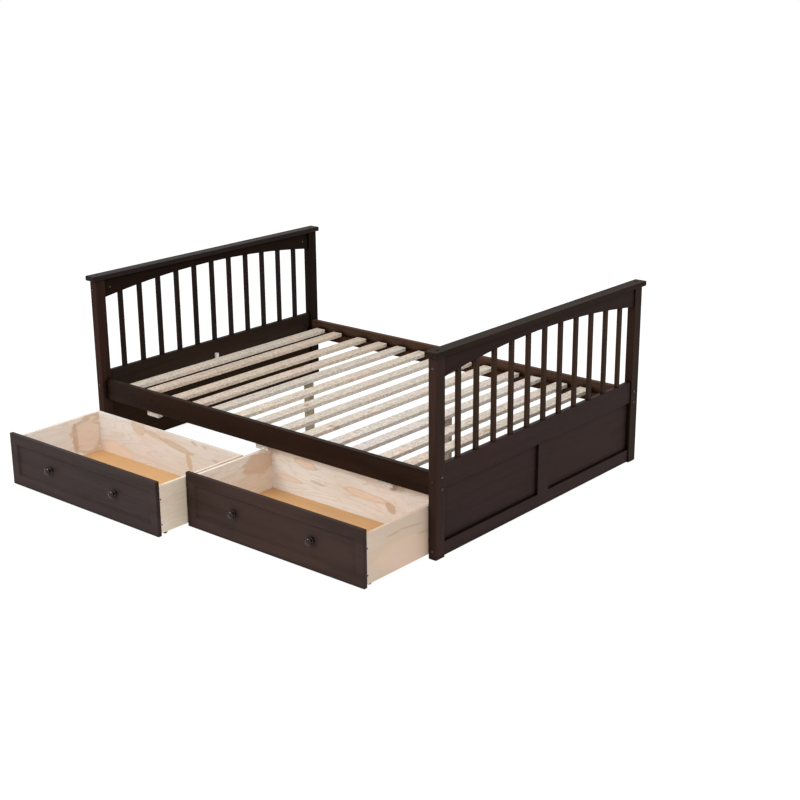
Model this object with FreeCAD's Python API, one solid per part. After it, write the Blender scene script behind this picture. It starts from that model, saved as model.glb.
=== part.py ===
import FreeCAD, Part
import math
import os

# Full-size platform bed with two rolling under-bed drawers, in millimetres.
# X runs along the bed (head at -X, foot at +X), Y across it (the drawers pull
# out towards -Y), Z is up and the floor is Z = 0. Shapes are drawn about the
# middle of the bed frame and moved by ORIGIN_SHIFT_Y when they are written.

os.makedirs("parts", exist_ok=True)
V = FreeCAD.Vector

# Bed frame
FRAME_LENGTH = 2000.0
FRAME_WIDTH = 1450.0
POST_X = 38.0
POST_Y = 54.0
POST_TOP = 813.0
END_RAIL_SET_BACK = 17.0
CAP_X = 58.0
CAP_LENGTH = 1480.0
CAP_THICK = 22.0
RAIL_THICK = 22.0
ARCH_LOW = 727.0
ARCH_RISE = 50.0
CROSS_LOW = 285.0
CROSS_TOP = 382.0
BOTTOM_LOW = 5.0
BOTTOM_TOP = 62.0
STILE_HALF = 38.0
PANEL_THICK = 9.0
PANEL_RECESS = 12.0
STACK_HOLE_R = 6.0
STACK_HOLE_DEPTH = 52.0

# Spindles between the arched rail and the cross rail
SPINDLE_COUNT = 11
SPINDLE_Y = 24.0
SPINDLE_X = 14.5
SPINDLE_PITCH = 114.3
SPINDLE_GAP = 0.3

# Side rails, cleats, slats
SIDE_OUTER_Y = 700.0
SIDE_THICK = 24.0
SIDE_LOW = 251.0
SIDE_TOP = 346.0
CLEAT_Y = 31.0
CLEAT_LOW = 270.0
CLEAT_HALF_LENGTH = 950.0
SLAT_THICK = 17.0
SLAT_WIDTH = 60.0
SLAT_HALF_LENGTH = 659.0
SLAT_TOP = 314.0
SLAT_FIRST_X = -879.0
SLAT_PITCH = 137.0
# the slats lie loose on the cleats, so each one sits a little off its pitch
SLAT_DRIFT = [0, -17, 14, 15, 3, 5, 0, 8, 0, 14, 4, 12, 0, 0]
LEG_SLATS = [5, 11]
LEG_X = 44.0
LEG_Y = 22.0
LEG_MID_Y = -20.0
LEG_HOLES_Z = [58.0, 142.0]
LEG_HOLE_R = 4.0
BLOCK_MIDS_X = [-678.0, 18.0, 705.0]
BLOCK_LENGTH = 74.0
BLOCK_Y = 25.0
BLOCK_LOW = 220.0
GUIDE_HOLE_X = -651.0
GUIDE_HOLE_Z = 310.0
# small block on the middle of the headboard's cross rail
HEAD_BLOCK_MID_Y = -6.5
HEAD_BLOCK_Y = 16.0
HEAD_BLOCK_X = 12.0
HEAD_BLOCK_TOP = 316.0

# Bolts and barrel nuts
BOLT_R = 3.0
BOLT_HOLE_R = 3.4
BOLT_HEAD_R = 5.5
BOLT_HEAD_THICK = 2.5
HEX_ACROSS = 4.0
NUT_R = 5.0
NUT_HOLE_R = 5.3
NUT_LENGTH = 14.0
NUT_SET_BACK = 36.0
RAIL_BOLT_Y = 690.0
RAIL_BOLTS_Z = [285.0, 335.0]
CROSS_BOLTS_Z = [35.0, 320.0, 770.0]

# Drawers
FRONT_WIDTH = 953.0
FRONT_LOW = 6.0
FRONT_TOP = 240.0
FRONT_THICK = 18.0
FRAME_MARGIN_X = 42.0
FRAME_MARGIN_Z = 45.0
RECESS_DEPTH = 8.0
RECESS_BEVEL = 9.0
BOX_INSET = 3.0
BOARD = 14.0
BOX_LOW = 16.0
BOX_TOP = 218.0
BOX_DEPTH = 467.0
FLOOR_LOW = 29.0
FLOOR_THICK = 5.0
KNOB_OFFSET_X = 210.0
KNOB_Z = 128.0
SCREW_Z = [52.0, 160.0]
SCREW_R = 1.8
SCREW_HEAD_R = 3.5
SCREW_LENGTH = 40.0
WHEEL_R = 12.5
WHEEL_WIDTH = 9.0
WHEEL_BORE_R = 2.05
AXLE_R = 2.0
WHEEL_INSET_X = 21.0
WHEEL_INSET_Y = 56.0
CHEEK_GAP = 0.5
SHEET = 1.5
# name, left end of the front, outer face of the front as the drawer stands open
DRAWERS = [("left_drawer", -948.5, -1255.0), ("right_drawer", 7.0, -1098.0)]

KNOB_REACH = 23.0
ORIGIN_SHIFT_Y = (1255.0 + KNOB_REACH - CAP_LENGTH / 2) / 2

end_mid_x = FRAME_LENGTH / 2 - END_RAIL_SET_BACK
post_mid_y = FRAME_WIDTH / 2 - POST_Y / 2
post_in_x = FRAME_LENGTH / 2 - POST_X
post_in_y = FRAME_WIDTH / 2 - POST_Y
rail_in_x = end_mid_x - RAIL_THICK / 2
rail_out_x = end_mid_x + RAIL_THICK / 2
side_in_y = SIDE_OUTER_Y - SIDE_THICK


def box(x0, x1, y0, y1, z0, z1):
    """Plain block between six planes, given in either order."""
    low = V(min(x0, x1), min(y0, y1), min(z0, z1))
    return Part.makeBox(abs(x1 - x0), abs(y1 - y0), abs(z1 - z0), low)


def runs_along(edge, axes):
    """True when a straight edge is parallel to one of the named axes."""
    d = edge.Vertexes[-1].Point.sub(edge.Vertexes[0].Point)
    size = {"x": abs(d.x), "y": abs(d.y), "z": abs(d.z)}
    return any(size[a] > 0.999 * d.Length for a in axes)


def eased(shape, radius, axes):
    """Round the edges that are parallel to the named axes."""
    return shape.makeFillet(radius, [e for e in shape.Edges if runs_along(e, axes)])


def rod(radius, start, direction, length):
    """Cylinder from a start point along a direction."""
    return Part.makeCylinder(radius, length, V(*start), V(*direction))


def move_to(shapes, x=0.0, y=0.0, z=0.0):
    """Copies of the shapes moved by one offset."""
    moved = []
    for shape in shapes:
        copy = shape.copy()
        copy.translate(V(x, y, z))
        moved.append(copy)
    return moved


def save(name, shapes):
    """Write one node as a STEP file in the origin-shifted frame."""
    group = Part.makeCompound(move_to(shapes, y=ORIGIN_SHIFT_Y))
    group.exportStep("parts/" + name + ".step")


def bolt(start, direction, length):
    """Flat-headed furniture bolt: head outside the start point, shank inside."""
    inward = V(*direction)
    head_start = V(*start).sub(inward * BOLT_HEAD_THICK)
    head = Part.makeCylinder(BOLT_HEAD_R, BOLT_HEAD_THICK, head_start, inward)
    rim = [e for e in head.Edges if len(e.Vertexes) == 1]
    outer = min(rim, key=lambda e: (e.CenterOfMass.sub(head_start)).Length)
    head = head.makeFillet(0.9, [outer])
    shank = rod(BOLT_R, start, direction, length)
    across = V(0, 0, HEX_ACROSS / 2)
    side = inward.cross(across)
    corner = HEX_ACROSS / 2 / 0.866
    points = []
    for k in range(7):
        turn = FreeCAD.Rotation(inward, 60.0 * k)
        points.append(head_start.add(turn.multVec(side.normalize() * corner)))
    socket = Part.Face(Part.makePolygon(points)).extrude(inward * 1.8)
    return head.fuse(shank).cut(socket)


# Bolt positions: (start, inward direction, shank length)
bolts = []
nuts = []
post_cuts = []
cross_cuts = []
side_cuts = []
for sx in (-1, 1):
    for sy in (-1, 1):
        for z in CROSS_BOLTS_Z:
            start = (sx * end_mid_x, sy * FRAME_WIDTH / 2, z)
            inward = (0, -sy, 0)
            reach = POST_Y + NUT_SET_BACK - NUT_R - 0.6
            bolts.append(bolt(start, inward, reach))
            hole = rod(BOLT_HOLE_R, start, inward, POST_Y + NUT_SET_BACK)
            post_cuts.append(hole)
            cross_cuts.append(hole)
            nut_y = sy * (post_in_y - NUT_SET_BACK)
            out = (sx, 0, 0)
            nuts.append(rod(NUT_R, (sx * (rail_in_x + 1), nut_y, z), out, NUT_LENGTH))
            cross_cuts.append(rod(NUT_HOLE_R, (sx * rail_in_x, nut_y, z), out, NUT_LENGTH + 2))
        for z in RAIL_BOLTS_Z:
            start = (sx * FRAME_LENGTH / 2, sy * RAIL_BOLT_Y, z)
            inward = (-sx, 0, 0)
            reach = POST_X + NUT_SET_BACK - NUT_R - 0.6
            bolts.append(bolt(start, inward, reach))
            hole = rod(BOLT_HOLE_R, start, inward, POST_X + NUT_SET_BACK)
            post_cuts.append(hole)
            side_cuts.append(hole)
            nut_x = sx * (post_in_x - NUT_SET_BACK)
            out = (0, sy, 0)
            nuts.append(rod(NUT_R, (nut_x, sy * (side_in_y + 1), z), out, NUT_LENGTH))
            side_cuts.append(rod(NUT_HOLE_R, (nut_x, sy * side_in_y, z), out, NUT_LENGTH + 2))
save("frame_bolts", bolts + nuts)
bolt_holes = Part.makeCompound(post_cuts)
cross_holes = Part.makeCompound(cross_cuts)
side_holes = Part.makeCompound(side_cuts)

# Stacking pin holes, open at the top of the caps and blind in the posts
stack_holes = []
for sx in (-1, 1):
    for sy in (-1, 1):
        foot = (sx * end_mid_x, sy * post_mid_y, POST_TOP + CAP_THICK - STACK_HOLE_DEPTH)
        stack_holes.append(rod(STACK_HOLE_R, foot, (0, 0, 1), STACK_HOLE_DEPTH + 1))
stack_holes = Part.makeCompound(stack_holes)

arch_radius = (post_in_y ** 2 + ARCH_RISE ** 2) / (2 * ARCH_RISE)
arch_mid_z = ARCH_LOW + ARCH_RISE - arch_radius

# Headboard and footboard
for end, sx in (("head", -1), ("foot", 1)):
    for place, sy in (("front", -1), ("rear", 1)):
        x0 = sx * post_in_x
        x1 = sx * FRAME_LENGTH / 2
        post = box(x0, x1, sy * post_in_y, sy * FRAME_WIDTH / 2, 0, POST_TOP)
        post = eased(post, 2.5, "z")
        sole = [e for e in post.Edges if e.BoundBox.ZMax < 0.01]
        post = post.makeChamfer(2.0, sole)
        save(end + "_post_" + place, [post.cut(bolt_holes).cut(stack_holes)])

    mid = sx * end_mid_x
    cap_top = POST_TOP + CAP_THICK
    cap = box(mid - CAP_X / 2, mid + CAP_X / 2, -CAP_LENGTH / 2, CAP_LENGTH / 2, POST_TOP, cap_top)
    cap = cap.makeFillet(3.0, cap.Edges)
    save(end + "_cap", [cap.cut(stack_holes)])

    x0 = sx * rail_in_x
    x1 = sx * rail_out_x
    arch = box(x0, x1, -post_in_y, post_in_y, ARCH_LOW, POST_TOP)
    under_arch = rod(arch_radius, (min(x0, x1) - 5, 0, arch_mid_z), (1, 0, 0), RAIL_THICK + 10)
    save(end + "_arch_rail", [arch.cut(under_arch).cut(cross_holes)])

    cross = box(x0, x1, -post_in_y, post_in_y, CROSS_LOW, CROSS_TOP)
    save(end + "_cross_rail", [eased(cross, 1.5, "y").cut(cross_holes)])
    bottom = box(x0, x1, -post_in_y, post_in_y, BOTTOM_LOW, BOTTOM_TOP)
    save(end + "_bottom_rail", [bottom.cut(cross_holes)])
    save(end + "_stile", [box(x0, x1, -STILE_HALF, STILE_HALF, BOTTOM_TOP, CROSS_LOW)])

    panel_out = sx * (rail_out_x - PANEL_RECESS)
    panel_in = sx * (rail_out_x - PANEL_RECESS - PANEL_THICK)
    panels = []
    for sy in (-1, 1):
        panels.append(box(panel_in, panel_out, sy * STILE_HALF, sy * post_in_y, BOTTOM_TOP, CROSS_LOW))
    save(end + "_panels", panels)

    spindle_space = rod(arch_radius - SPINDLE_GAP, (mid - 30, 0, arch_mid_z), (1, 0, 0), 60)
    spindles = []
    for k in range(SPINDLE_COUNT):
        y = (k - (SPINDLE_COUNT - 1) / 2) * SPINDLE_PITCH
        x_half = SPINDLE_X / 2
        y_half = SPINDLE_Y / 2
        stick = box(mid - x_half, mid + x_half, y - y_half, y + y_half, CROSS_TOP, POST_TOP)
        spindles.append(eased(stick, 2.5, "z").common(spindle_space))
    save(end + "_spindles", spindles)

# Side rails and the cleats the slats rest on
slat_low = SLAT_TOP - SLAT_THICK
guide_hole = rod(3.5, (GUIDE_HOLE_X, -SIDE_OUTER_Y, GUIDE_HOLE_Z), (0, 1, 0), 12)
cleats = []
for place, sy in (("front", -1), ("rear", 1)):
    y0 = sy * side_in_y
    y1 = sy * SIDE_OUTER_Y
    rail = eased(box(-post_in_x, post_in_x, y0, y1, SIDE_LOW, SIDE_TOP), 1.5, "x")
    rail = rail.cut(side_holes)
    if sy < 0:
        rail = rail.cut(guide_hole)
    save(place + "_side_rail", [rail])
    cleat_in = sy * (side_in_y - CLEAT_Y)
    cleats.append(box(-CLEAT_HALF_LENGTH, CLEAT_HALF_LENGTH, cleat_in, y0, CLEAT_LOW, slat_low))
save("slat_cleats", cleats)

# Slats, and the two centre legs that stand under two of them
slat_mids = []
for k, drift in enumerate(SLAT_DRIFT):
    x = SLAT_FIRST_X + SLAT_PITCH * k + drift
    slat_mids.append(x)
    x_half = SLAT_WIDTH / 2
    slat = box(x - x_half, x + x_half, -SLAT_HALF_LENGTH, SLAT_HALF_LENGTH, slat_low, SLAT_TOP)
    slat = eased(slat, 6.0, "z")
    slat = slat.makeChamfer(1.2, [e for e in slat.Edges if e.BoundBox.ZLength < 0.01])
    save("slat_%02d" % (k + 1), [slat])

legs = []
for number in LEG_SLATS:
    x = slat_mids[number - 1]
    leg_in = LEG_MID_Y - LEG_Y / 2
    leg = box(x - LEG_X / 2, x + LEG_X / 2, leg_in, leg_in + LEG_Y, 0, slat_low)
    leg = eased(leg, 2.0, "z")
    for z in LEG_HOLES_Z:
        leg = leg.cut(rod(LEG_HOLE_R, (x, leg_in - 1, z), (0, 1, 0), LEG_Y + 2))
    legs.append(leg)
save("centre_legs", legs)

# Small blocks: three behind the front rail stop the drawer fronts
blocks = []
for x in BLOCK_MIDS_X:
    half = BLOCK_LENGTH / 2
    block = box(x - half, x + half, -side_in_y, BLOCK_Y - side_in_y, BLOCK_LOW, CLEAT_LOW)
    blocks.append(eased(block, 2.0, "y"))

# The fourth block is glued to the inner face of the headboard's cross rail
half = HEAD_BLOCK_Y / 2
y0 = HEAD_BLOCK_MID_Y - half
y1 = HEAD_BLOCK_MID_Y + half
head_block = box(-rail_in_x, HEAD_BLOCK_X - rail_in_x, y0, y1, CROSS_LOW + 1, HEAD_BLOCK_TOP)
blocks.append(eased(head_block, 1.5, "x"))
save("frame_blocks", blocks)


def drawer_front(x0, x1, face_y):
    """Flat board with one wide recess whose four sides are bevelled."""
    board = box(x0, x1, face_y, face_y + FRONT_THICK, FRONT_LOW, FRONT_TOP)
    board = board.makeFillet(1.5, [e for e in board.Edges if e.BoundBox.YMax < face_y + 0.01])
    wires = []
    for depth, extra in ((-1.0, -RECESS_BEVEL / RECESS_DEPTH), (RECESS_DEPTH, RECESS_BEVEL)):
        left = x0 + FRAME_MARGIN_X + extra
        right = x1 - FRAME_MARGIN_X - extra
        low = FRONT_LOW + FRAME_MARGIN_Z + extra
        top = FRONT_TOP - FRAME_MARGIN_Z - extra
        y = face_y + depth
        corners = [V(left, y, low), V(right, y, low), V(right, y, top), V(left, y, top)]
        wires.append(Part.makePolygon(corners + corners[:1]))
    return board.cut(Part.makeLoft(wires, True))


def knob(x, base_y):
    """Mushroom knob turned about the Y axis, its base on the recessed face."""
    def at(out, radius):
        return V(x + radius, base_y - out, KNOB_Z)
    reach = KNOB_REACH + RECESS_DEPTH
    # the dome is part of a sphere that meets the rim and is centred on the axis
    rim_out, rim_r = 24.0, 16.2
    centre = (reach ** 2 - rim_out ** 2 - rim_r ** 2) / (2 * (reach - rim_out))
    ball = reach - centre
    half = math.asin(rim_r / ball) / 2
    dome = at(centre + ball * math.cos(half), ball * math.sin(half))
    edges = [
        Part.makeLine(at(0, 0), at(0, 10)),
        Part.makeLine(at(0, 10), at(2.5, 10)),
        Part.Arc(at(2.5, 10), at(4.2, 7.2), at(7, 6.4)).toShape(),
        Part.makeLine(at(7, 6.4), at(12, 6.4)),
        Part.makeLine(at(12, 6.4), at(18, 14.5)),
        Part.Arc(at(18, 14.5), at(20.6, 17.2), at(rim_out, rim_r)).toShape(),
        Part.Arc(at(rim_out, rim_r), dome, at(reach, 0)).toShape(),
        Part.makeLine(at(reach, 0), at(0, 0)),
    ]
    face = Part.Face(Part.Wire(edges))
    return face.revolve(V(x, base_y, KNOB_Z), V(0, 1, 0), 360)


def side_screw(x, y, z, inward):
    """Countersunk screw through a side board, its head flush with the face."""
    head = Part.makeCone(SCREW_HEAD_R, SCREW_R, 2.0, V(x, y, z), V(inward, 0, 0))
    shank = rod(SCREW_R, (x, y, z), (inward, 0, 0), SCREW_LENGTH)
    deep = x + inward * 0.9
    slot_a = box(x - inward, deep, y - 2.2, y + 2.2, z - 0.45, z + 0.45)
    slot_b = box(x - inward, deep, y - 0.45, y + 0.45, z - 2.2, z + 2.2)
    return head.fuse(shank).cut(slot_a).cut(slot_b)


def screw_space(x, y, z, inward):
    """Clearance hole and countersink for one side screw."""
    sink = Part.makeCone(SCREW_HEAD_R + 0.4, SCREW_R + 0.3, 2.1, V(x, y, z), V(inward, 0, 0))
    return sink.fuse(rod(SCREW_R + 0.3, (x, y, z), (inward, 0, 0), SCREW_LENGTH + 1))


def caster_bracket(x, y):
    """Folded sheet bracket under the drawer floor with its fixed axle pin."""
    cheek_in = WHEEL_WIDTH / 2 + CHEEK_GAP
    cheek_out = cheek_in + SHEET
    plate = box(x - 6.8, x + 6.8, y - 22, y + 22, FLOOR_LOW - SHEET, FLOOR_LOW)
    body = eased(plate, 3.0, "z")
    for sx in (-1, 1):
        cheek = box(x + sx * cheek_in, x + sx * cheek_out, y - 8, y + 8, 8, FLOOR_LOW - SHEET)
        cheek = cheek.makeFillet(5.0, [e for e in cheek.Edges
                                       if e.BoundBox.ZMax < 8.01 and runs_along(e, "x")])
        body = body.fuse(cheek)
    body = body.fuse(rod(AXLE_R, (x - cheek_out, y, WHEEL_R), (1, 0, 0), 2 * cheek_out))
    for sy in (-1, 1):
        body = body.cut(rod(1.8, (x, y + sy * 16, FLOOR_LOW - 5), (0, 0, 1), 10))
    return body.removeSplitter()


def caster_wheel(x, y):
    """Solid roller with rounded shoulders, shallow hub rings and a bore."""
    start = (x - WHEEL_WIDTH / 2, y, WHEEL_R)
    roller = rod(WHEEL_R, start, (1, 0, 0), WHEEL_WIDTH)
    roller = roller.makeFillet(1.5, [e for e in roller.Edges if len(e.Vertexes) == 1])
    for face_x in (x - WHEEL_WIDTH / 2, x + WHEEL_WIDTH / 2 - 1):
        ring = rod(9.0, (face_x, y, WHEEL_R), (1, 0, 0), 1)
        roller = roller.cut(ring.cut(rod(4.0, (face_x, y, WHEEL_R), (1, 0, 0), 1)))
    return roller.cut(rod(WHEEL_BORE_R, start, (1, 0, 0), WHEEL_WIDTH))


# Drawers, drawn where they stand open
for name, left_x, face_y in DRAWERS:
    right_x = left_x + FRONT_WIDTH
    box_left = left_x + BOX_INSET
    box_right = right_x - BOX_INSET
    inner_left = box_left + BOARD
    inner_right = box_right - BOARD
    back_face = face_y + FRONT_THICK
    rear_y = back_face + BOX_DEPTH

    save(name + "_front", [drawer_front(left_x, right_x, face_y)])

    screws = []
    screw_cuts = []
    for y in (back_face + BOARD / 2, rear_y - BOARD / 2):
        for z in SCREW_Z:
            for x, inward in ((box_left, 1), (box_right, -1)):
                screws.append(side_screw(x, y, z, inward))
                screw_cuts.append(screw_space(x, y, z, inward))
    save(name + "_screws", screws)
    screw_cuts = Part.makeCompound(screw_cuts)

    side = box(box_left, inner_left, back_face, rear_y, BOX_LOW, BOX_TOP)
    save(name + "_side_left", [eased(side, 1.2, "y").cut(screw_cuts)])
    side = box(inner_right, box_right, back_face, rear_y, BOX_LOW, BOX_TOP)
    save(name + "_side_right", [eased(side, 1.2, "y").cut(screw_cuts)])
    inner_front = box(inner_left, inner_right, back_face, back_face + BOARD, BOX_LOW, BOX_TOP)
    save(name + "_inner_front", [inner_front.cut(screw_cuts)])
    back = box(inner_left, inner_right, rear_y - BOARD, rear_y, BOX_LOW, BOX_TOP)
    save(name + "_back", [back.cut(screw_cuts)])
    y0 = back_face + BOARD
    y1 = rear_y - BOARD
    base = box(inner_left, inner_right, y0, y1, FLOOR_LOW, FLOOR_LOW + FLOOR_THICK)
    save(name + "_base", [base])

    mid_x = (left_x + right_x) / 2
    recess_y = face_y + RECESS_DEPTH
    save(name + "_knobs", [knob(mid_x + s * KNOB_OFFSET_X, recess_y) for s in (-1, 1)])

    wheel_xs = (box_left + WHEEL_INSET_X, box_right - WHEEL_INSET_X)
    front_y = face_y + WHEEL_INSET_Y
    back_y = rear_y - WHEEL_INSET_Y
    save(name + "_caster_brackets", [caster_bracket(x, y) for x in wheel_xs for y in (front_y, back_y)])
    save(name + "_front_wheels", [caster_wheel(x, front_y) for x in wheel_xs])
    save(name + "_rear_wheels", [caster_wheel(x, back_y) for x in wheel_xs])
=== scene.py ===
import math
import random

import bpy
from mathutils import Matrix, Vector


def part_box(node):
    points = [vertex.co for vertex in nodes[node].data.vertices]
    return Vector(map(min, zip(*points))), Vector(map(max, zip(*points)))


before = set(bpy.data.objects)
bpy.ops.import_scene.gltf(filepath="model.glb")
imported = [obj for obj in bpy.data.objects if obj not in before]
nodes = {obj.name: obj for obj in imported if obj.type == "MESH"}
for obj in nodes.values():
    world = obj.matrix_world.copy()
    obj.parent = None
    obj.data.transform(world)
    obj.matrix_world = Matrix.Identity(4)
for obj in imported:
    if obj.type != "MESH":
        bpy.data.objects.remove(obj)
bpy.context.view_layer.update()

# Materials, studio and camera for a trundle bed with two rolling drawers. Every
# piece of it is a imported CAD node, and lengths are metres. X runs from the headboard
# to the footboard, -Y is the drawers' side and Z is up.

SEED = 677
FAR = 1000.0    # half size that carries a patch right through its board

rng = random.Random(SEED)
scene = bpy.context.scene


# ---------------------------------------------------------------- node helpers

class Graph:
    """Builds one node material on the object's own coordinates."""

    def __init__(self, name):
        self.material = bpy.data.materials.new(name)
        self.material.use_nodes = True
        self.tree = self.material.node_tree
        self.tree.nodes.clear()
        self.out = self.add("ShaderNodeOutputMaterial")
        self.shader = self.add("ShaderNodeBsdfPrincipled")
        self.link(self.shader.outputs["BSDF"], self.out.inputs["Surface"])
        self.object_space = self.add("ShaderNodeTexCoord").outputs["Object"]
        self.offset = tuple(rng.uniform(-20, 20) for _ in range(3))

    def add(self, kind, **values):
        node = self.tree.nodes.new(kind)
        for key, value in values.items():
            setattr(node, key, value)
        return node

    def link(self, source, target):
        self.tree.links.new(source, target)

    def feed(self, target, value):
        """Link a socket, or set a plain number or colour."""
        if isinstance(value, bpy.types.NodeSocket):
            self.link(value, target)
        elif isinstance(value, tuple):
            target.default_value = (*value, 1.0)
        else:
            target.default_value = value

    def set(self, **values):
        """Constant shader inputs, written with underscores for spaces."""
        for key, value in values.items():
            self.shader.inputs[key.replace("_", " ")].default_value = value

    def wire(self, **values):
        """Linked shader inputs, written with underscores for spaces."""
        for key, value in values.items():
            self.link(value, self.shader.inputs[key.replace("_", " ")])

    def noise(self, scale, detail=3.0, rough=0.5, distort=0.0):
        """Fractal noise, its scale one number or a tuple of cycles per metre."""
        mapping = self.add("ShaderNodeMapping")
        mapping.inputs["Location"].default_value = self.offset
        cycles = scale if isinstance(scale, tuple) else (scale,) * 3
        mapping.inputs["Scale"].default_value = cycles
        self.link(self.object_space, mapping.inputs["Vector"])
        node = self.add("ShaderNodeTexNoise")
        self.link(mapping.outputs["Vector"], node.inputs["Vector"])
        node.inputs["Scale"].default_value = 1.0
        node.inputs["Detail"].default_value = detail
        node.inputs["Roughness"].default_value = rough
        node.inputs["Distortion"].default_value = distort
        return node

    def math(self, kind, a, b=0.0):
        """One operation on sockets or numbers."""
        node = self.add("ShaderNodeMath", operation=kind)
        self.feed(node.inputs[0], a)
        self.feed(node.inputs[1], b)
        return node.outputs[0]

    def span(self, value, low, high, to_low=0.0, to_high=1.0):
        """Map a value smoothly from one range to another, clamped."""
        node = self.add("ShaderNodeMapRange", interpolation_type="SMOOTHSTEP")
        self.feed(node.inputs["Value"], value)
        node.inputs["From Min"].default_value = low
        node.inputs["From Max"].default_value = high
        node.inputs["To Min"].default_value = to_low
        node.inputs["To Max"].default_value = to_high
        return node.outputs["Result"]

    def mix(self, factor, a, b):
        """Blend of two colours, a at factor 0 and b at factor 1."""
        node = self.add("ShaderNodeMix", data_type="RGBA")
        self.feed(node.inputs[0], factor)
        self.feed(node.inputs[6], a)
        self.feed(node.inputs[7], b)
        return node.outputs[2]

    def bump(self, height, strength, distance):
        """Normal of a relief that is distance metres high."""
        node = self.add("ShaderNodeBump")
        node.inputs["Strength"].default_value = strength
        node.inputs["Distance"].default_value = distance
        self.link(height, node.inputs["Height"])
        return node.outputs["Normal"]

    def crevice_shade(self, reach, low, high, darkest):
        """Painted shade: 1 in the open, falling to darkest where walls stand close, within
        reach.
        """
        node = self.add("ShaderNodeAmbientOcclusion", samples=8)
        node.inputs["Distance"].default_value = reach
        return self.span(node.outputs["AO"], low, high, darkest, 1.0)

    def blot(self, centre, size, tilt, axis, wobble=1.3):
        """Distance from an ellipsoid's middle, 1 at its rim, ragged along the grain."""
        mapping = self.add("ShaderNodeMapping", vector_type="TEXTURE")
        mapping.inputs["Location"].default_value = centre
        mapping.inputs["Rotation"].default_value = tilt
        mapping.inputs["Scale"].default_value = size
        self.link(self.object_space, mapping.inputs["Vector"])
        ragged = self.noise(along(axis, 30.0, 7.0), 4.0, 0.62, 0.6).outputs["Color"]
        moved = self.add("ShaderNodeVectorMath", operation="MULTIPLY_ADD")
        self.link(ragged, moved.inputs[0])
        moved.inputs[1].default_value = (wobble,) * 3
        self.link(mapping.outputs["Vector"], moved.inputs[2])
        centred = self.add("ShaderNodeVectorMath", operation="SUBTRACT")
        self.link(moved.outputs[0], centred.inputs[0])
        centred.inputs[1].default_value = (wobble / 2,) * 3
        length = self.add("ShaderNodeVectorMath", operation="LENGTH")
        self.link(centred.outputs[0], length.inputs[0])
        return length.outputs["Value"]


def along(axis, across, run):
    """Pattern scale that is stretched along one axis."""
    return tuple(run if a == axis else across for a in "xyz")


def scaled(colour, factor):
    return tuple(c * factor for c in colour)


# ---------------------------------------------------------------- materials

# Reach of the painted shade in crevices, in metres
CREVICE_SHADE_REACH = 0.035

KNOT = (0.30, 0.19, 0.11)
PEACH = (0.74, 0.53, 0.37)
TAN = (0.50, 0.36, 0.22)
BROWN = (0.32, 0.24, 0.16)
RUSSET = (0.62, 0.42, 0.27)
ROSE = (0.58, 0.410, 0.305)
BASE_TAN = (0.60, 0.345, 0.155)

# A left-hand board's outer face: its tone and how much of it shows. The pale tone of
# the board's inner face is painted light, and the outer face is taken back towards this
# darker tone. It begins OUTER_START behind the inner face and is full at OUTER_FULL.
OUTER_FACE = (0.56, 0.46, 0.37)
OUTER_SHARE = 0.8
OUTER_START = 0.001
OUTER_FULL = 0.006


def dark_wood(name, axis, colour, gloss):
    """Espresso lacquer over fine-grained wood, the grain running along axis."""
    g = Graph(name)
    bands = g.noise(along(axis, 26.0, 1.8), 4.0, 0.55, 0.4).outputs["Fac"]
    pores = g.noise(along(axis, 420.0, 9.0), 2.0, 0.6).outputs["Fac"]
    patch = g.noise(2.6, 3.0, 0.55).outputs["Fac"]
    wear = g.noise(9.0, 5.0, 0.7).outputs["Fac"]
    warm = (colour[0] * 1.22, colour[1] * 1.00, colour[2] * 0.90)
    base = g.mix(g.span(bands, 0.32, 0.68), scaled(colour, 0.83), scaled(colour, 1.17))
    base = g.mix(g.span(patch, 0.42, 0.70, 0.0, 0.6), base, warm)
    streak = g.span(pores, 0.56, 0.74)
    base = g.mix(g.math("MULTIPLY", streak, 0.5), base, scaled(colour, 0.4))
    base = g.mix(g.span(wear, 0.62, 0.82, 0.0, 0.4), base, scaled(colour, 1.8))
    # Painted shade: the lacquer darkens to about a fifth of its tone where walls stand close
    base = g.mix(g.crevice_shade(CREVICE_SHADE_REACH, 0.45, 0.92, 0.0), scaled(colour, 0.22), base)
    rough = g.math("ADD", g.span(bands, 0.2, 0.8, 0.36, 0.48), g.math("MULTIPLY", streak, 0.12))
    height = g.math("SUBTRACT", g.math("MULTIPLY", bands, 0.35), streak)
    g.wire(Base_Color=base, Roughness=rough, Normal=g.bump(height, 0.22, 0.0004))
    g.set(Specular_IOR_Level=gloss)
    return g.material


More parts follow.
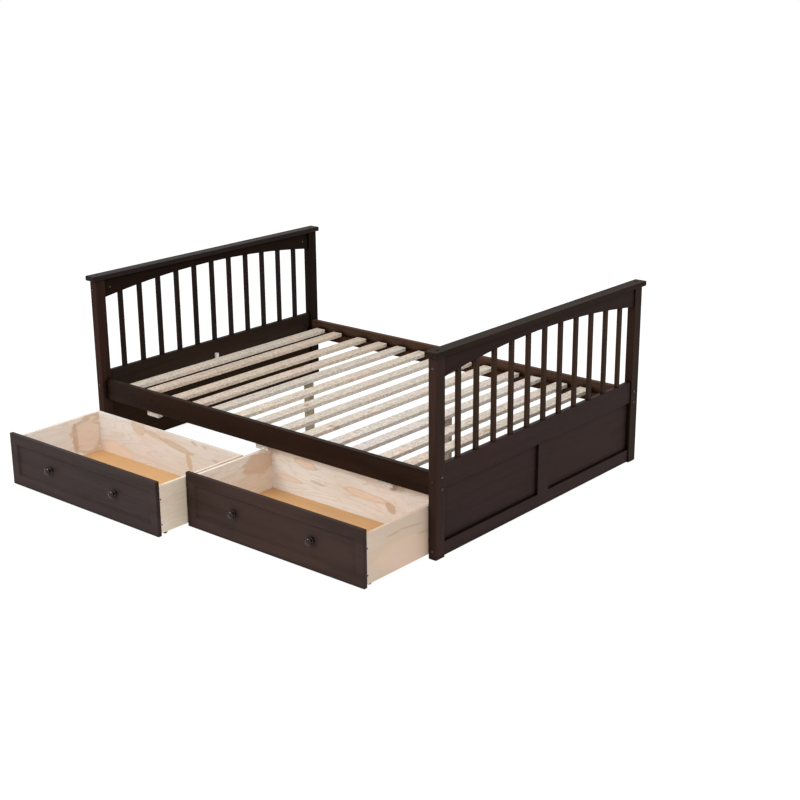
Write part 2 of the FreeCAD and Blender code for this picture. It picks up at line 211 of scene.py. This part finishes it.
def slat_wood(name, light, deep):
    """Rough sawn softwood with the grain along Y."""
    g = Graph(name)
    bands = g.noise(along("y", 30.0, 1.5), 4.0, 0.6, 0.8).outputs["Fac"]
    fibres = g.noise(along("y", 420.0, 34.0), 3.0, 0.65).outputs["Fac"]
    flecks = g.noise((120.0, 60.0, 120.0), 3.0, 0.8).outputs["Fac"]
    blotch = g.noise(34.0, 4.0, 0.7).outputs["Fac"]
    hue = g.noise(7.0, 2.0, 0.5).outputs["Fac"]
    knots = g.noise(along("y", 16.0, 9.0), 1.0, 0.4).outputs["Fac"]
    colour = g.mix(g.span(bands, 0.3, 0.7), light, deep)
    pink = (light[0] * 1.05, light[1] * 0.93, light[2] * 0.90)
    green = (light[0] * 0.95, light[1] * 1.00, light[2] * 0.93)
    colour = g.mix(g.span(hue, 0.52, 0.70, 0.0, 0.8), colour, pink)
    colour = g.mix(g.span(hue, 0.48, 0.30, 0.0, 0.8), colour, green)
    colour = g.mix(g.span(blotch, 0.52, 0.78, 0.0, 0.6), colour, scaled(deep, 0.70))
    colour = g.mix(g.span(flecks, 0.50, 0.66, 0.0, 0.75), colour, scaled(deep, 0.60))
    colour = g.mix(g.span(flecks, 0.48, 0.34, 0.0, 0.75), colour, scaled(light, 1.38))
    colour = g.mix(g.span(fibres, 0.5, 0.78, 0.0, 0.5), colour, scaled(deep, 0.66))
    colour = g.mix(g.span(knots, 0.70, 0.80, 0.0, 0.7), colour, KNOT)
    height = g.math("ADD", fibres, g.math("MULTIPLY", flecks, 0.8))
    g.wire(Base_Color=colour, Roughness=g.span(fibres, 0.2, 0.8, 0.66, 0.84),
           Normal=g.bump(height, 0.5, 0.0007))
    g.set(Specular_IOR_Level=0.2)
    return g.material


def drawer_wood(name, axis, pale, patches=(), inner_x=None):
    """Clear-coated pine board with soft rings and heartwood patches.

    Each patch is (centre, half size, tilt, fill colour, fill strength, rim strength).
    With inner_x, the X of a left-hand board's inner face, the outer face is darker,
    without the painted light that a pale tone puts on the inner face.
    """
    g = Graph(name)
    deep = (pale[0] * 0.93, pale[1] * 0.88, pale[2] * 0.82)
    pink = (pale[0] * 1.04, pale[1] * 0.92, pale[2] * 0.90)
    cloud = g.noise(along(axis, 7.0, 2.2), 3.0, 0.55, 0.5).outputs["Fac"]
    warp = g.noise(along(axis, 12.0, 1.3), 2.0, 0.5, 1.2).outputs["Fac"]
    fibres = g.noise(along(axis, 480.0, 12.0), 3.0, 0.6).outputs["Fac"]
    smudge = g.noise(along(axis, 46.0, 20.0), 3.0, 0.65).outputs["Fac"]
    hue = g.noise(5.0, 2.0, 0.5).outputs["Fac"]
    colour = g.mix(g.span(cloud, 0.3, 0.7), pale, deep)
    colour = g.mix(g.span(hue, 0.5, 0.75, 0.0, 0.7), colour, pink)
    ring = g.math("FRACT", g.math("MULTIPLY", warp, 11.0))
    late = g.math("MULTIPLY", g.span(ring, 0.45, 0.95), g.span(ring, 1.0, 0.95))
    colour = g.mix(g.math("MULTIPLY", late, 0.24), colour, TAN)
    colour = g.mix(g.span(smudge, 0.55, 0.78, 0.0, 0.30), colour, TAN)
    colour = g.mix(g.span(fibres, 0.52, 0.78, 0.0, 0.24), colour, scaled(deep, 0.7))
    for centre, size, tilt, fill, strength, rim in patches:
        distance = g.blot(centre, size, tilt, axis)
        colour = g.mix(g.span(distance, 1.06, 0.84, 0.0, strength), colour, fill)
        edge = g.math("MULTIPLY", g.span(distance, 0.74, 0.96), g.span(distance, 1.14, 1.0))
        colour = g.mix(g.math("MULTIPLY", edge, rim), colour, TAN)
    # The pale tone carries painted light for the inner face; the outer face is blended back
    # towards OUTER_FACE
    if inner_x is not None:
        place = g.add("ShaderNodeSeparateXYZ")
        g.link(g.object_space, place.inputs["Vector"])
        full, start = inner_x - OUTER_FULL, inner_x - OUTER_START
        share = g.span(place.outputs["X"], full, start, OUTER_SHARE, 0.0)
        colour = g.mix(share, colour, OUTER_FACE)
    height = g.math("ADD", g.math("MULTIPLY", fibres, 0.7), g.math("MULTIPLY", late, 0.3))
    g.wire(Base_Color=colour, Roughness=g.span(fibres, 0.2, 0.8, 0.46, 0.60),
           Normal=g.bump(height, 0.22, 0.0003))
    g.set(Specular_IOR_Level=0.25)
    return g.material


def thin_board(name, level):
    """Smooth tan drawer base with fine fibre specks."""
    g = Graph(name)
    specks = g.noise(520.0, 2.0, 0.7).outputs["Fac"]
    cloud = g.noise(3.5, 3.0, 0.5).outputs["Fac"]
    grain = g.noise(along("x", 70.0, 2.0), 3.0, 0.6).outputs["Fac"]
    tan = scaled(BASE_TAN, level)
    colour = g.mix(g.span(cloud, 0.3, 0.7), scaled(tan, 0.94), scaled(tan, 1.06))
    colour = g.mix(g.span(grain, 0.45, 0.7, 0.0, 0.35), colour, scaled(tan, 0.84))
    colour = g.mix(g.span(specks, 0.6, 0.8, 0.0, 0.3), colour, scaled(tan, 0.62))
    g.wire(Base_Color=colour, Roughness=g.span(cloud, 0.2, 0.8, 0.42, 0.55),
           Normal=g.bump(specks, 0.12, 0.0002))
    g.set(Specular_IOR_Level=0.25)
    return g.material


def knob_lacquer(name):
    """Gloss dark lacquer with faint turning lines."""
    g = Graph(name)
    turned = g.noise((60.0, 420.0, 60.0), 3.0, 0.6).outputs["Fac"]
    darkest, lightest = (0.008, 0.004, 0.003), (0.020, 0.009, 0.006)
    colour = g.mix(g.span(turned, 0.3, 0.7), darkest, lightest)
    g.wire(Base_Color=colour, Roughness=g.span(turned, 0.2, 0.8, 0.10, 0.17),
           Normal=g.bump(turned, 0.05, 0.0002))
    g.set(Specular_IOR_Level=0.25)
    return g.material


def metal(name, dark, light, rough):
    """Plated steel with a mottled surface."""
    g = Graph(name)
    fine = g.noise(1100.0, 2.0, 0.6).outputs["Fac"]
    cloud = g.noise(110.0, 2.0, 0.5).outputs["Fac"]
    colour = g.mix(g.span(cloud, 0.3, 0.7), dark, light)
    g.wire(Base_Color=colour, Roughness=g.span(fine, 0.2, 0.8, rough - 0.08, rough + 0.1),
           Normal=g.bump(fine, 0.1, 0.0001))
    g.set(Metallic=1.0)
    return g.material


def moulded_plastic(name):
    """Black wheel plastic with a little floor dust."""
    g = Graph(name)
    fine = g.noise(1300.0, 2.0, 0.6).outputs["Fac"]
    dust = g.noise(80.0, 4.0, 0.6).outputs["Fac"]
    black, dusty = (0.010, 0.010, 0.011), (0.060, 0.056, 0.050)
    colour = g.mix(g.span(dust, 0.5, 0.8, 0.0, 0.6), black, dusty)
    g.wire(Base_Color=colour, Roughness=g.span(dust, 0.3, 0.8, 0.38, 0.62),
           Normal=g.bump(fine, 0.15, 0.0001))
    return g.material


def paint(node, material):
    """Give a CAD node one material on all its slots."""
    mesh = nodes[node].data
    if not mesh.materials:
        mesh.materials.append(material)
    for index in range(len(mesh.materials)):
        mesh.materials[index] = material


# Dark pieces: start of the node's name, grain axis, lacquer colour, gloss. The first
# row that fits a node is used. Most of the headboard and the rear posts are darker than
# the rest as painted shade, standing in for the light that falls off there.
DARK_PIECES = [
    ("left_drawer_front", "x", (0.0285, 0.0190, 0.0176), 0.05),
    ("right_drawer_front", "x", (0.0305, 0.0175, 0.0140), 0.05),
    ("foot_post_rear", "z", (0.0182, 0.0097, 0.0063), 0.03),
    ("foot_post", "z", (0.0268, 0.0135, 0.0100), 0.03),
    ("foot_cap", "y", (0.0180, 0.0108, 0.0078), 0.015),
    ("foot_arch_rail", "y", (0.0170, 0.0080, 0.0060), 0.03),
    ("foot_spindles", "z", (0.0260, 0.0143, 0.0083), 0.03),
    ("foot_", "y", (0.0238, 0.0132, 0.0117), 0.03),
    ("head_post_front", "z", (0.0262, 0.0132, 0.0100), 0.015),
    ("head_post_rear", "z", (0.0115, 0.0070, 0.0052), 0.01),
    ("head_cap", "y", (0.0165, 0.0118, 0.0103), 0.025),
    ("head_arch_rail", "y", (0.0112, 0.0065, 0.0049), 0.01),
    ("head_spindles", "z", (0.0158, 0.0110, 0.0108), 0.01),
    ("head_cross_rail", "y", (0.0200, 0.0122, 0.0083), 0.02),
    ("head_", "y", (0.0180, 0.0098, 0.0052), 0.01),
    ("front_side_rail", "x", (0.0178, 0.0092, 0.0060), 0.03),
    ("rear_side_rail", "x", (0.0560, 0.0295, 0.0185), 0.02),
    ("slat_cleats", "x", (0.0380, 0.0170, 0.0090), 0.02),
]

# Heartwood patches on the drawer boards: centre, half size, tilt, colour, fill, rim.
# Places are those of the rest pose, with the drawers open.
LEFT_SIDE_PATCHES = [
    ((0.0, -0.585, 0.120), (FAR, 0.085, 0.095), (0.0, 0.0, 0.0), PEACH, 0.45, 0.50),
    ((0.0, -0.652, 0.115), (FAR, 0.014, 0.075), (0.0, 0.0, 0.0), TAN, 0.45, 0.10),
]
LEFT_BACK_PATCHES = [
    ((-0.825, 0.0, 0.048), (0.130, FAR, 0.046), (0.0, 0.0, 0.0), PEACH, 0.52, 0.15),
    ((-0.655, 0.0, 0.198), (0.050, FAR, 0.030), (0.0, 0.25, 0.0), TAN, 0.50, 0.35),
    ((-0.555, 0.0, 0.190), (0.060, FAR, 0.012), (0.0, 0.15, 0.0), TAN, 0.55, 0.40),
    ((-0.400, 0.0, 0.166), (0.100, FAR, 0.014), (0.0, 0.16, 0.0), TAN, 0.60, 0.55),
    ((-0.325, 0.0, 0.112), (0.017, FAR, 0.036), (0.0, -0.3, 0.0), TAN, 0.70, 0.35),
    ((-0.287, 0.0, 0.208), (0.020, FAR, 0.010), (0.0, 0.3, 0.0), BROWN, 0.35, 0.30),
    ((-0.220, 0.0, 0.203), (0.016, FAR, 0.007), (0.0, 0.3, 0.0), BROWN, 0.30, 0.30),
    ((-0.150, 0.0, 0.153), (0.028, FAR, 0.008), (0.0, 0.2, 0.0), BROWN, 0.30, 0.25),
]
RIGHT_SIDE_PATCHES = [
    ((0.0, -0.425, 0.165), (FAR, 0.095, 0.045), (0.0, 0.0, 0.0), RUSSET, 0.60, 0.30),
    ((0.0, -0.420, 0.080), (FAR, 0.130, 0.070), (0.0, 0.0, 0.0), PEACH, 0.30, 0.10),
]
RIGHT_BACK_PATCHES = [
    ((0.225, 0.0, 0.187), (0.062, FAR, 0.018), (0.0, 0.1, 0.0), PEACH, 0.60, 0.45),
    ((0.120, 0.0, 0.100), (0.090, FAR, 0.015), (0.0, 0.0, 0.0), PEACH, 0.42, 0.20),
    ((0.290, 0.0, 0.118), (0.045, FAR, 0.007), (0.0, 0.1, 0.0), BROWN, 0.35, 0.25),
    ((0.555, 0.0, 0.130), (0.125, FAR, 0.016), (0.0, 0.04, 0.0), PEACH, 0.58, 0.40),
    ((0.690, 0.0, 0.110), (0.028, FAR, 0.018), (0.0, 0.5, 0.0), TAN, 0.70, 0.45),
    ((0.700, 0.0, 0.200), (0.020, FAR, 0.013), (0.0, 0.0, 0.0), BROWN, 0.55, 0.40),
]
RIGHT_OUTER_PATCHES = [
    ((0.0, -0.560, 0.070), (FAR, 0.200, 0.070), (-0.15, 0.0, 0.0), ROSE, 0.50, 0.30),
    ((0.0, -0.655, 0.171), (FAR, 0.045, 0.006), (0.0, 0.0, 0.0), BROWN, 0.45, 0.15),
    ((0.0, -0.555, 0.168), (FAR, 0.075, 0.005), (-0.12, 0.0, 0.0), BROWN, 0.40, 0.15),
    ((0.0, -0.470, 0.120), (FAR, 0.050, 0.006), (-0.10, 0.0, 0.0), BROWN, 0.30, 0.15),
]
BOARD_PATCHES = {
    "left_drawer_side_left": LEFT_SIDE_PATCHES,
    "left_drawer_back": LEFT_BACK_PATCHES,
    "right_drawer_side_left": RIGHT_SIDE_PATCHES,
    "right_drawer_back": RIGHT_BACK_PATCHES,
    "right_drawer_side_right": RIGHT_OUTER_PATCHES,
}
# Tones of the side and back boards, with painted light in them: the pale inner boards
# stand in for the light inside the drawers, and the right drawer's outer side is darker
# as painted shade. The inner front boards are plain.
BOARD_TONES_AND_PAINTED_LIGHT = {
    "left_drawer_side_left": (0.85, 0.84, 0.83),
    "left_drawer_back": (0.67, 0.64, 0.61),
    "left_drawer_side_right": (0.65, 0.565, 0.46),
    "right_drawer_side_left": (0.87, 0.82, 0.76),
    "right_drawer_back": (0.76, 0.73, 0.69),
    "right_drawer_side_right": (0.52, 0.425, 0.355),
}
PLAIN_BOARD = (0.66, 0.565, 0.485)
# Tone of each drawer base; the right one is paler as painted light, against the shade of the
# bed above it
BASE_LEVELS_AND_PAINTED_LIGHT = {"left_drawer_base": 0.87, "right_drawer_base": 0.96}
SLAT_TONE = (0.520, 0.452, 0.378)
# Slats that are warmer, cooler or paler than the rest: factors on their tone
SLAT_TINTS = {
    "slat_02": (0.96, 0.89, 0.85),
    "slat_03": (0.94, 0.89, 0.85),
    "slat_04": (1.00, 0.94, 0.91),
    "slat_10": (0.98, 1.01, 1.08),
    "slat_11": (1.10, 1.10, 1.16),
    "slat_12": (1.06, 1.06, 1.10),
}
BLOCK_TONE = (0.62, 0.56, 0.49)
LEG_TONE = (0.288, 0.235, 0.170)

# Metals: darker colour, lighter colour, mean roughness
BLACKENED = ((0.055, 0.045, 0.040), (0.150, 0.130, 0.115), 0.30)
ZINC_PLATED = ((0.48, 0.47, 0.45), (0.62, 0.62, 0.63), 0.34)

for name in nodes:
    dark = next((row for row in DARK_PIECES if name.startswith(row[0])), None)
    if dark:
        paint(name, dark_wood(name + "_wood", *dark[1:]))
    elif name.startswith("slat_"):
        warmth = rng.uniform(-1.0, 1.0)
        level = rng.uniform(0.96, 1.06)
        cast = (1 + 0.02 * warmth, 1.0, 1 - 0.03 * warmth)
        own = SLAT_TINTS.get(name, (1.0, 1.0, 1.0))
        light = tuple(SLAT_TONE[i] * level * cast[i] * own[i] for i in range(3))
        paint(name, slat_wood(name + "_wood", light, scaled(light, 0.86)))
    elif name in ("centre_legs", "frame_blocks"):
        tone = LEG_TONE if name == "centre_legs" else BLOCK_TONE
        paint(name, slat_wood(name + "_wood", tone, scaled(tone, 0.80)))
    elif name == "frame_bolts" or name.endswith("_screws"):
        paint(name, metal(name + "_metal", *BLACKENED))
    elif name.endswith("_brackets"):
        paint(name, metal(name + "_metal", *ZINC_PLATED))
    elif name.endswith("_wheels"):
        paint(name, moulded_plastic(name + "_plastic"))
    elif name.endswith("_knobs"):
        paint(name, knob_lacquer(name + "_lacquer"))
    elif name.endswith("_base"):
        paint(name, thin_board(name + "_board", BASE_LEVELS_AND_PAINTED_LIGHT[name]))
    else:
        axis = "y" if "side" in name else "x"
        tone = BOARD_TONES_AND_PAINTED_LIGHT.get(name, PLAIN_BOARD)
        patches = BOARD_PATCHES.get(name, ())
        inner_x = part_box(name)[1][0] if name.endswith("_side_left") else None
        paint(name, drawer_wood(name + "_wood", axis, tone, patches, inner_x))


# ---------------------------------------------------------------- studio

WHITE = (1.0, 1.0, 1.0, 1.0)
FLOOR_GLOW = 0.92
FLOOR_HALF = 30.0
FLOOR_DROP = 0.0005


def studio_floor():
    """Pale floor with a gentle glow, so the bed's shade on it stays faint."""
    g = Graph("studio_floor")
    soft = g.noise(0.8, 2.0, 0.5).outputs["Fac"]
    g.wire(Base_Color=g.mix(soft, (0.15, 0.15, 0.15), (0.17, 0.17, 0.17)))
    g.set(Roughness=0.9, Specular_IOR_Level=0.0, Emission_Strength=FLOOR_GLOW)
    g.shader.inputs["Emission Color"].default_value = WHITE
    return g.material


corners = [(x * FLOOR_HALF, y * FLOOR_HALF, -FLOOR_DROP)
           for x, y in ((-1, -1), (1, -1), (1, 1), (-1, 1))]
mesh = bpy.data.meshes.new("floor")
mesh.from_pydata(corners, [], [(0, 1, 2, 3)])
mesh.materials.append(studio_floor())
floor = bpy.data.objects.new("floor", mesh)
scene.collection.objects.link(floor)

world = bpy.data.worlds.new("studio")
scene.world = world
world.use_nodes = True
sky = world.node_tree.nodes["Background"]
sky.inputs["Color"].default_value = WHITE
sky.inputs["Strength"].default_value = 1.0


def area_light(name, place, target, size, power):
    """Square softbox aimed at a target, its size in metres and power in watts."""
    data = bpy.data.lights.new(name, "AREA")
    data.shape = "SQUARE"
    data.size = size
    data.energy = power
    lamp = bpy.data.objects.new(name, data)
    scene.collection.objects.link(lamp)
    lamp.location = place
    aim = Vector(target) - Vector(place)
    lamp.rotation_euler = aim.to_track_quat("-Z", "Y").to_euler()


DRAWERS_SIDE = (0.0, -0.4, 0.2)
area_light("key_softbox", (-1.2, -5.2, 3.2), DRAWERS_SIDE, 1.6, 120)
area_light("fill_softbox", (3.2, -4.8, 3.4), DRAWERS_SIDE, 1.2, 70)
area_light("top_softbox", (0.0, -0.6, 5.0), (0.0, -0.6, 0.0), 2.0, 60)

# ---------------------------------------------------------------- camera

CAMERA_AZIMUTH = math.radians(40.0972)
CAMERA_ELEVATION = math.radians(17.9616)
CAMERA_ROLL = math.radians(-0.3892)
CAMERA_PLACE = (4.2173, -4.4856, 2.3241)
CAMERA_LENS = 65.81     # focal length, millimetres
SENSOR_WIDTH = 36.0     # millimetres
CLIP_END = 100.0

back = Vector((math.sin(CAMERA_AZIMUTH) * math.cos(CAMERA_ELEVATION),
               -math.cos(CAMERA_AZIMUTH) * math.cos(CAMERA_ELEVATION),
               math.sin(CAMERA_ELEVATION)))
flat = Vector((math.cos(CAMERA_AZIMUTH), math.sin(CAMERA_AZIMUTH), 0.0))
upright = back.cross(flat)
right = flat * math.cos(CAMERA_ROLL) + upright * math.sin(CAMERA_ROLL)
up = upright * math.cos(CAMERA_ROLL) - flat * math.sin(CAMERA_ROLL)
lens = bpy.data.cameras.new("camera")
lens.lens = CAMERA_LENS
lens.sensor_width = SENSOR_WIDTH
lens.clip_end = CLIP_END
camera = bpy.data.objects.new("camera", lens)
scene.collection.objects.link(camera)
camera.matrix_world = Matrix((
    (right.x, up.x, back.x, CAMERA_PLACE[0]),
    (right.y, up.y, back.y, CAMERA_PLACE[1]),
    (right.z, up.z, back.z, CAMERA_PLACE[2]),
    (0.0, 0.0, 0.0, 1.0),
))
scene.camera = camera
scene.view_settings.view_transform = "Standard"
